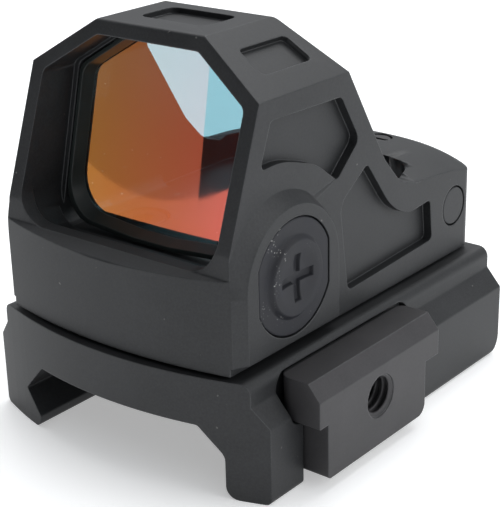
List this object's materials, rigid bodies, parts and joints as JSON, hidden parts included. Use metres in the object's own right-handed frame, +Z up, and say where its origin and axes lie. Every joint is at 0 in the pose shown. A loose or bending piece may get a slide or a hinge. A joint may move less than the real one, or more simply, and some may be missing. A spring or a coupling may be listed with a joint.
{
  "type": "compact open reflex sight on a low rail clamp mount",
  "caption": "Compact open red dot sight with an eight-sided hood, side plus and minus buttons and a low clamp mount for a slotted accessory rail.",
  "frame": {"origin": "centre of the mount's seat, on the plane of the rail's top face", "axes": "+X towards the plus button and the clamp jaw, -Y out of the front of the hood, +Z up"},
  "size_m": [0.036, 0.0378, 0.0352],
  "materials": {
    "anodised_body": "matte charcoal anodised, fine bead-blast grain",
    "anodised_mount": "matte charcoal anodised, fine bead-blast grain",
    "anodised_jaw": "matte charcoal anodised, a little lighter and warmer",
    "coated_glass": "clear glass with an amber to red reflecting coating",
    "black_ring": "satin black",
    "clear_glass": "clear, polished",
    "button_rubber": "matte, faint blue-black",
    "plunger_plastic": "natural moulded",
    "switch_case": "satin",
    "board_green": "glossy solder mask",
    "cell_steel": "satin",
    "contact_gold": "plated",
    "seal_rubber": "matte",
    "bright_steel": "satin",
    "black_steel": "blackened, satin",
    "carriage_brass": "machined",
    "emitter_red": "clear red"
  },
  "bodies": {
    "sight": {"sight_housing": "anodised_body", "lens": "coated_glass", "lens_bezel": "black_ring", "emitter_window": "clear_glass", "main_board": "board_green", "coin_cell": "cell_steel", "cell_contact_positive": "contact_gold", "cell_contact_negative": "contact_gold", "cell_gasket": "seal_rubber", "up_switch": "switch_case", "down_switch": "switch_case", "mounting_screw_left": "black_steel", "mounting_screw_right": "black_steel", "locating_pin_left": "bright_steel", "locating_pin_right": "bright_steel", "board_screw_left": "bright_steel", "board_screw_right": "bright_steel", "side_plug": "anodised_body", "mount_base": "anodised_mount", "clamp_washer": "black_steel"},
    "up_key": {"up_button": "button_rubber", "up_plunger": "plunger_plastic"},
    "down_key": {"down_button": "button_rubber", "down_plunger": "plunger_plastic"},
    "windage": {"windage_screw": "black_steel"},
    "carriage": {"emitter_carriage": "carriage_brass"},
    "rocker": {"emitter_rocker": "bright_steel", "emitter_led": "emitter_red"},
    "elevation": {"elevation_screw": "black_steel"},
    "clamp_bolt": {"clamp_screw": "black_steel"},
    "jaw": {"clamp_jaw": "anodised_jaw"}
  },
  "joints": [
    {"name": "up_press", "type": "slide", "parent": "sight", "child": "up_key", "axis": [-1, 0, 0], "range_m": [0, 0.0004], "stiffness_N_per_m": 1500},
    {"name": "down_press", "type": "slide", "parent": "sight", "child": "down_key", "axis": [1, 0, 0], "range_m": [0, 0.0004], "stiffness_N_per_m": 1500},
    {"name": "windage_turn", "type": "hinge", "parent": "sight", "child": "windage", "pos_m": [0, 0.01295, 0.00905], "axis": [1, 0, 0], "range_deg": [-200, 200]},
    {"name": "carriage_slide", "type": "slide", "parent": "sight", "child": "carriage", "axis": [1, 0, 0], "range_m": [-0.00019, 0.00019]},
    {"name": "elevation_turn", "type": "hinge", "parent": "sight", "child": "elevation", "pos_m": [0.0029, 0.01405, 0.01245], "axis": [0, 0, 1], "range_deg": [-80, 80]},
    {"name": "rocker_tilt", "type": "hinge", "parent": "carriage", "child": "rocker", "pos_m": [0, 0.01295, 0.00905], "axis": [1, 0, 0], "range_deg": [-4.3, 4.3]},
    {"name": "clamp_turn", "type": "hinge", "parent": "sight", "child": "clamp_bolt", "pos_m": [0, -0.00668, -0.00059], "axis": [-1, 0, 0], "range_deg": [0, 1081]},
    {"name": "jaw_slide", "type": "slide", "parent": "sight", "child": "jaw", "axis": [1, 0, 0], "range_m": [0, 0.0021]}
  ],
  "couplings": [
    {"joint": "windage_turn", "follows": "carriage_slide", "rad_per_m": 17952},
    {"joint": "rocker_tilt", "follows": "elevation_turn", "ratio": 0.05064},
    {"joint": "clamp_turn", "follows": "jaw_slide", "rad_per_m": 8976}
  ]
}
